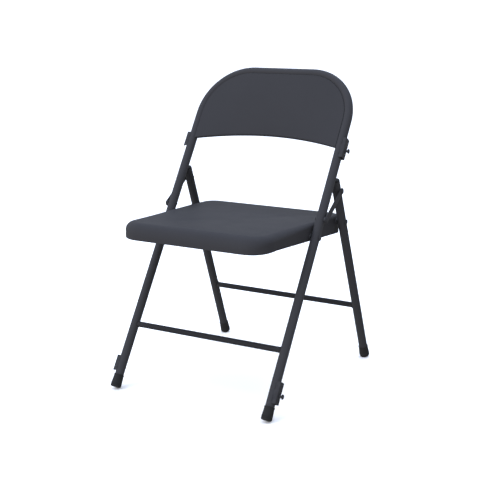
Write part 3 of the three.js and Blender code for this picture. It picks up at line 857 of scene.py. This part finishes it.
def seat_outline():
    """The pan's plan: (point, outward normal) pairs, round the four corners."""
    corners = (
        (1, 1, SEAT_REAR_CORNER, 0),
        (-1, 1, SEAT_REAR_CORNER, 90),
        (-1, -1, SEAT_FRONT_CORNER, 180),
        (1, -1, SEAT_FRONT_CORNER, 270),
    )
    outline = []
    corner_steps = 18
    side_steps = 22
    for number, (side_x, side_y, radius, start) in enumerate(corners):
        x = side_x * (SEAT_HALF_WIDTH - radius)
        y = SEAT_REAR - radius if side_y > 0 else SEAT_FRONT + radius
        for i in range(corner_steps + 1):
            turn = math.radians(start + 90 * i / corner_steps)
            normal = Vector((math.cos(turn), math.sin(turn)))
            outline.append((Vector((x, y)) + radius * normal, normal))
        last, normal = outline[-1]
        next_x, next_y, next_radius, _ = corners[(number + 1) % 4]
        target = Vector((next_x * (SEAT_HALF_WIDTH - next_radius),
                         SEAT_REAR - next_radius if next_y > 0 else SEAT_FRONT + next_radius))
        target += next_radius * normal
        for i in range(1, side_steps):
            outline.append((last.lerp(target, i / side_steps), normal))
    return outline


def seat_top(y):
    """Height of the plane that the seat's top is pressed from."""
    return SEAT_TOP_HEIGHT + SEAT_TOP_SLOPE * y


def seat_hem(y):
    front_share = smoothstep(-y, -DROP_STARTS, -SEAT_FRONT)
    return SEAT_HEM_HEIGHT + SEAT_HEM_SLOPE * y - SEAT_FRONT_DROP * front_share


def seat_column(point, normal):
    """The pan's section at one outline point, from the centre underneath to the centre on top."""
    ahead = max(-normal.y, 0) ** 2
    full_roll = SIDE_ROLL + (FRONT_ROLL - SIDE_ROLL) * ahead
    full_reach = SIDE_REACH + (FRONT_REACH - SIDE_REACH) * ahead
    roll = REAR_ROLL + (full_roll - REAR_ROLL) * smoothstep(-point.y, -ROLL_GROWS_FROM, -ROLL_GROWS_TO)
    reach = REAR_REACH + (full_reach - REAR_REACH) * smoothstep(-point.y, -REACH_GROWS_FROM, -REACH_GROWS_TO)
    hem = seat_hem(point.y)
    inner = point - reach * normal
    centre = Vector((0, (SEAT_FRONT + SEAT_REAR) / 2))
    spoke_steps = 14
    spokes = [i / spoke_steps for i in range(1, spoke_steps)]
    skirt_top = seat_top(point.y) - roll

    def at(inset, height):
        plan = point - inset * normal
        return Vector((plan.x, plan.y, height))

    def spoke(share, drop):
        plan = inner.lerp(centre, share)
        dish = SEAT_DISH * (1 - (1 - share) ** 2) ** 2
        return Vector((plan.x, plan.y, seat_top(plan.y) - dish - drop))

    def rolled(inwards, turn):
        inset = reach - (reach - inwards) * math.cos(turn)
        level = seat_top(point.y - inset * normal.y)
        return at(inset, level - roll + (roll - inwards) * math.sin(turn))

    roll_steps = 16
    turns = [math.pi / 2 * i / roll_steps for i in range(roll_steps + 1)]
    column = [spoke(share, SEAT_SHEET) for share in reversed(spokes)]
    column += [rolled(SEAT_SHEET, turn) for turn in reversed(turns)]
    above_hem = 0.004
    column.append(at(SEAT_SHEET, hem + HEM_RADIUS + above_hem))
    inner_bend = HEM_RADIUS - SEAT_SHEET
    for across, up in arc((HEM_RADIUS, HEM_RADIUS), inner_bend, 180, 270, 3):
        column.append(at(across, hem + up))
    column.append(at(SEAT_LIP, hem + SEAT_SHEET))
    for across, up in arc((SEAT_LIP, SEAT_SHEET / 2), SEAT_SHEET / 2, 60, -60, 3):
        column.append(at(across, hem + up))
    column.append(at(SEAT_LIP, hem))
    for across, up in arc((HEM_RADIUS, HEM_RADIUS), HEM_RADIUS, 270, 180, 5):
        column.append(at(across, hem + up))
    for share in (0.35, 0.7):
        column.append(at(0, hem + HEM_RADIUS + (skirt_top - hem - HEM_RADIUS) * share))
    column += [rolled(0, turn) for turn in turns]
    column += [spoke(share, 0) for share in spokes]
    return column


def make_seat():
    bm = bmesh.new()
    columns = [[bm.verts.new(co) for co in seat_column(point, normal)] for point, normal in seat_outline()]
    count = len(columns)
    for k in range(count):
        first, second = columns[k], columns[(k + 1) % count]
        for lower in range(len(first) - 1):
            bm.faces.new((first[lower], first[lower + 1], second[lower + 1], second[lower]))
    middle = (SEAT_FRONT + SEAT_REAR) / 2
    for end, drop in ((0, SEAT_SHEET), (-1, 0)):
        pole = bm.verts.new((0, middle, seat_top(middle) - SEAT_DISH - drop))
        for k in range(count):
            bm.faces.new((pole, columns[k][end], columns[(k + 1) % count][end]))
    piece("pressed_seat", bm, POWDER_COAT, "seat", ["seat_pan"])


# ---- Hinge plates and links ----


def make_strap(name, start, end, start_radius, end_radius, x_low, thickness, body, node):
    """A flat strap with round ends between two pivots, standing in the YZ plane."""
    bm = bmesh.new()
    run = Vector((end.y - start.y, end.z - start.z))
    tangent = math.degrees(math.acos((start_radius - end_radius) / run.length))
    outline = arc((run.length, 0), end_radius, -tangent, tangent, 20)
    outline += arc((0, 0), start_radius, tangent, 360 - tangent, 20)
    tilt = Matrix.Rotation(math.atan2(run.y, run.x), 4, "X")
    prism(bm, outline, 0, thickness, Matrix.Translation((x_low, start.y, start.z)) @ tilt @ XY_TO_YZ)
    piece(name, bm, POWDER_COAT, body, [node], bevel=STRAP_BEVEL)


def make_straps():
    link_end = REAR_PLANE @ Vector((0, 0, REAR_LINK_PIVOT_AT))
    for name, sign in SIDES:
        x = LINK_INSIDE if sign > 0 else -LINK_INSIDE - LINK_THICKNESS
        make_strap(f"{name}_link_bar", PIVOT["left_link_fold"], link_end, LINK_HALF_WIDTH, LINK_HALF_WIDTH,
                   x, LINK_THICKNESS, f"{name}_link", f"{name}_folding_link")
        x = PLATE_INSIDE if sign > 0 else -PLATE_INSIDE - HINGE_PLATE_THICKNESS
        make_strap(f"{name}_hinge_bar", PIVOT["seat_fold"], PIVOT["rear_legs_fold"], PLATE_FRONT_RADIUS,
                   PLATE_REAR_RADIUS, x, HINGE_PLATE_THICKNESS, "seat", f"{name}_seat_hinge_plate")


# ---- Rivets, washers and spacers ----


def dome(radius, low, high):
    """A low domed head from its rim to its crown, as (radius, height) pairs."""
    rim = 0.0005
    points = arc((radius - rim, low + rim), rim, -60, 20, 4)
    start_radius, start = points[-1]
    steps = 10
    for i in range(1, steps + 1):
        turn = math.pi / 2 * i / steps
        points.append((start_radius * math.cos(turn), start + (high - start) * math.sin(turn)))
    points[-1] = (0, high)
    return points


def peened_tail(radius, low, high):
    """A rivet's tail from its crown at low to its rim at high: a dome turned over."""
    return [(across, low + high - height) for across, height in reversed(dome(radius, low, high))]


def rivet_profile(tail_from, tail_to, head_from, tail_radius=RIVET_TAIL_RADIUS):
    """A rivet from its peened tail to its low domed head, measured outwards."""
    tail = peened_tail(tail_radius, tail_from, tail_to)
    shank = [(SHANK_RADIUS, tail_to), (SHANK_RADIUS, head_from)]
    return [*tail, *shank, *dome(RIVET_HEAD_RADIUS, head_from, head_from + RIVET_HEAD_HEIGHT)]


def ring_profile(low, high, outer):
    """A washer or spacer with softened edges, as a closed section."""
    inner = PIVOT_BORE_RADIUS
    soft = 0.0002
    return [(inner, low), (outer - soft, low), (outer, low + soft), (outer, high - soft),
            (outer - soft, high), (inner, high), (inner, low)]


def make_turned(name, profile, sign, along, plane, material, body, slot, node=None):
    """A turned part with its axis along X. A closed profile, as of a ring, is joined to itself."""
    bm = bmesh.new()
    lathe(bm, profile, TURNED_SIDES, along_x(sign, 0, along))
    if profile[0] == profile[-1]:
        bmesh.ops.remove_doubles(bm, verts=bm.verts, dist=SAME_PLACE)
    piece(name, bm, material, body, [node] if node else (), plane)


def make_pivots():
    seat_tail = (PLATE_INSIDE - CLEARANCE - RIVET_TAIL_HEIGHT, PLATE_INSIDE - CLEARANCE)
    front_inside = FRAME_HALF_WIDTH - TUBE_RADIUS
    front_outside = FRAME_HALF_WIDTH + TUBE_RADIUS
    rear_inside = REAR_HALF_WIDTH - TUBE_RADIUS
    rear_outside = REAR_HALF_WIDTH + TUBE_RADIUS
    link_head = LINK_INSIDE + LINK_THICKNESS + CLEARANCE
    washer_from = SEAT_HALF_WIDTH + CLEARANCE
    end_tail_to = rear_half_width(REAR_LINK_PIVOT_AT) - TUBE_RADIUS
    front = (FRONT_PLANE, RIVET_PAINT, "front_frame", "rivet_steel")
    rear = (REAR_PLANE, RIVET_PAINT, "rear_legs", "rivet_steel")
    for name, sign in SIDES:
        profile = rivet_profile(*seat_tail, front_outside + CLEARANCE)
        make_turned(f"{name}_seat_rivet", profile, sign, SEAT_PIVOT_AT, *front, f"{name}_seat_pivot_rivet")
        profile = rivet_profile(front_inside - FLUSH_TAIL_HEIGHT, front_inside, link_head, FLUSH_TAIL_RADIUS)
        make_turned(f"{name}_link_rivet", profile, sign, LINK_PIVOT_AT, *front, f"{name}_link_pivot_rivet")
        profile = rivet_profile(*seat_tail, rear_outside + CLEARANCE)
        make_turned(f"{name}_rear_rivet", profile, sign, REAR_SEAT_PIVOT_AT, *rear,
                    f"{name}_rear_leg_pivot_rivet")
        profile = [(0, LINK_INSIDE), (SHANK_RADIUS, LINK_INSIDE), (SHANK_RADIUS, link_head)]
        profile += dome(RIVET_HEAD_RADIUS, link_head, link_head + RIVET_HEAD_HEIGHT)
        make_turned(f"{name}_end_rivet", profile, sign, REAR_LINK_PIVOT_AT, REAR_PLANE, RIVET_PAINT,
                    f"{name}_link", "rivet_steel", f"{name}_link_end_rivet")
        profile = peened_tail(FLUSH_TAIL_RADIUS, end_tail_to - FLUSH_TAIL_HEIGHT, end_tail_to)
        profile += [(SHANK_RADIUS, end_tail_to + 0.001), (0, end_tail_to + 0.001)]
        make_turned(f"{name}_end_rivet_tail", profile, sign, REAR_LINK_PIVOT_AT, *rear)
        profile = ring_profile(washer_from, front_inside - CLEARANCE, WASHER_RADIUS)
        make_turned(f"{name}_seat_washer", profile, sign, SEAT_PIVOT_AT, *front, f"{name}_seat_pivot_washer")
        profile = ring_profile(front_outside + CLEARANCE, LINK_INSIDE - CLEARANCE, LINK_SPACER_RADIUS)
        make_turned(f"{name}_link_spacer", profile, sign, LINK_PIVOT_AT, *front, f"{name}_link_pivot_spacer")
        profile = ring_profile(washer_from, rear_inside - CLEARANCE, LEG_SPACER_RADIUS)
        make_turned(f"{name}_rear_spacer", profile, sign, REAR_SEAT_PIVOT_AT, *rear,
                    f"{name}_rear_leg_pivot_spacer")


# ---- Stage ----

CAMERA_PLACE = Vector((1.2632, -2.1622, 0.9104))
CAMERA_AZIMUTH = math.radians(29.97)
CAMERA_ELEVATION = math.radians(13.19)
CAMERA_LENS = 73.48

FLOOR_SIDES = 64
FLOOR_PROFILE = ((3, 0), (8, 0), (16, 0.03), (26, 0.5), (32, 2.0))
BRIGHT_SIDE = Vector((-0.40, -0.60, 0.69))
SKY_DIM = 0.36
SKY_BRIGHT = 1.9

# Area lights: name, place, size, power and tint
LIGHT_TARGET = Vector((0, 0, 0.4))
LIGHTS = (
    ("key", (-1.6, -3.0, 2.2), 1.8, 32, (1, 1, 1)),
    ("back", (0.9, 2.9, 0.8), 1.6, 9, (1, 1, 1)),
    ("top", (-0.3, 0.9, 3.2), 2.4, 50, (0.70, 0.83, 1.0)),
)


def make_camera():
    camera = bpy.data.objects.new("camera", bpy.data.cameras.new("camera"))
    camera.data.lens = CAMERA_LENS
    camera.data.sensor_width = 36
    camera.location = CAMERA_PLACE
    camera.rotation_euler = (math.pi / 2 - CAMERA_ELEVATION, 0, CAMERA_AZIMUTH)
    bpy.context.scene.collection.objects.link(camera)
    bpy.context.scene.camera = camera


def make_floor():
    """A wide pale sheet that turns up a little, far away, so that it fills the view to its top edge."""
    bm = bmesh.new()
    rings = [[bm.verts.new((0, 0, 0))]]
    turns = [2 * math.pi * k / FLOOR_SIDES for k in range(FLOOR_SIDES)]
    for radius, height in FLOOR_PROFILE:
        places = [(radius * math.cos(turn), radius * math.sin(turn), height) for turn in turns]
        rings.append([bm.verts.new(place) for place in places])
    for k in range(FLOOR_SIDES):
        bm.faces.new((rings[0][0], rings[1][k], rings[1][(k + 1) % FLOOR_SIDES]))
    for first, second in zip(rings[1:], rings[2:]):
        bridge(bm, second, first)
    bmesh.ops.recalc_face_normals(bm, faces=bm.faces)
    mesh = bpy.data.meshes.new("floor")
    bm.to_mesh(mesh)
    bm.free()
    mesh.shade_smooth()
    floor = bpy.data.objects.new("floor", mesh)
    bpy.context.scene.collection.objects.link(floor)
    n = Nodes("pale_floor")
    mottle = n.spread(n.noise(1.5, 3.0), 0.3, 0.7, 0.0, 1.0)
    n.join(n.mix(mottle, (0.985, 0.985, 0.985, 1), (1, 1, 1, 1)), n.shader.inputs["Base Color"])
    n.shader.inputs["Roughness"].default_value = 0.9
    n.shader.inputs["Specular IOR Level"].default_value = 0.05
    mesh.materials.append(n.material)
    floor.visible_diffuse = False
    floor.visible_glossy = False


def make_light(name, place, size, power, tint):
    light = bpy.data.objects.new(name, bpy.data.lights.new(name, "AREA"))
    light.data.shape = "DISK"
    light.data.size = size
    light.data.energy = power
    light.data.color = tint
    light.location = place
    light.rotation_euler = (LIGHT_TARGET - Vector(place)).to_track_quat("-Z", "Y").to_euler()
    bpy.context.scene.collection.objects.link(light)


def make_sky():
    """Soft white surroundings: brighter to the front left and above, and a little bluer above."""
    world = bpy.data.worlds.new("studio")
    bpy.context.scene.world = world
    world.use_nodes = True
    nodes = world.node_tree.nodes
    links = world.node_tree.links
    place = nodes.new("ShaderNodeTexCoord")
    facing = nodes.new("ShaderNodeVectorMath")
    facing.operation = "DOT_PRODUCT"
    facing.inputs[1].default_value = BRIGHT_SIDE
    level = nodes.new("ShaderNodeMapRange")
    for name, value in (("From Min", -1), ("From Max", 1), ("To Min", SKY_DIM), ("To Max", SKY_BRIGHT)):
        level.inputs[name].default_value = value
    split = nodes.new("ShaderNodeSeparateXYZ")
    tint = nodes.new("ShaderNodeValToRGB")
    tint.color_ramp.elements[0].position = 0.1
    tint.color_ramp.elements[0].color = (1, 1, 1, 1)
    tint.color_ramp.elements[1].position = 0.9
    tint.color_ramp.elements[1].color = (0.84, 0.93, 1.16, 1)
    links.new(place.outputs["Generated"], facing.inputs[0])
    links.new(place.outputs["Generated"], split.inputs["Vector"])
    links.new(facing.outputs["Value"], level.inputs["Value"])
    links.new(split.outputs["Z"], tint.inputs["Fac"])
    links.new(level.outputs["Result"], nodes["Background"].inputs["Strength"])
    links.new(tint.outputs["Color"], nodes["Background"].inputs["Color"])


# ---- The whole chair ----

make_frame_tube()
make_crossbar("front_bar", FRAME_HALF_WIDTH, FRONT_PLANE, "front_frame", "front_crossbar")
make_crossbar_welds("front_bar_welds", FRAME_HALF_WIDTH, FRONT_PLANE, "front_frame")
make_back_panel()
make_panel_welds()
make_ganging_parts()
make_bracket_welds()
rear_bar_half_width = rear_half_width(CROSSBAR_AT)
make_crossbar("rear_bar", rear_bar_half_width, REAR_PLANE, "rear_legs", "rear_crossbar")
make_crossbar_welds("rear_bar_welds", rear_bar_half_width, REAR_PLANE, "rear_legs")
for side_name, side_sign in SIDES:
    make_rear_leg(side_name, side_sign)
    make_plug(side_name, side_sign)
    make_foot_cap(f"{side_name}_front_boot", f"{side_name}_front_foot_cap", "front_frame", FRONT_PLANE,
                  side_sign * FRAME_HALF_WIDTH, 0)
    make_foot_cap(f"{side_name}_rear_boot", f"{side_name}_rear_foot_cap", "rear_legs", REAR_PLANE,
                  side_sign * rear_half_width(0), -side_sign * REAR_SPLAY)
make_seat()
make_straps()
make_pivots()

make_camera()
make_floor()
make_sky()
for light_settings in LIGHTS:
    make_light(*light_settings)
bpy.context.scene.view_settings.view_transform = "Standard"
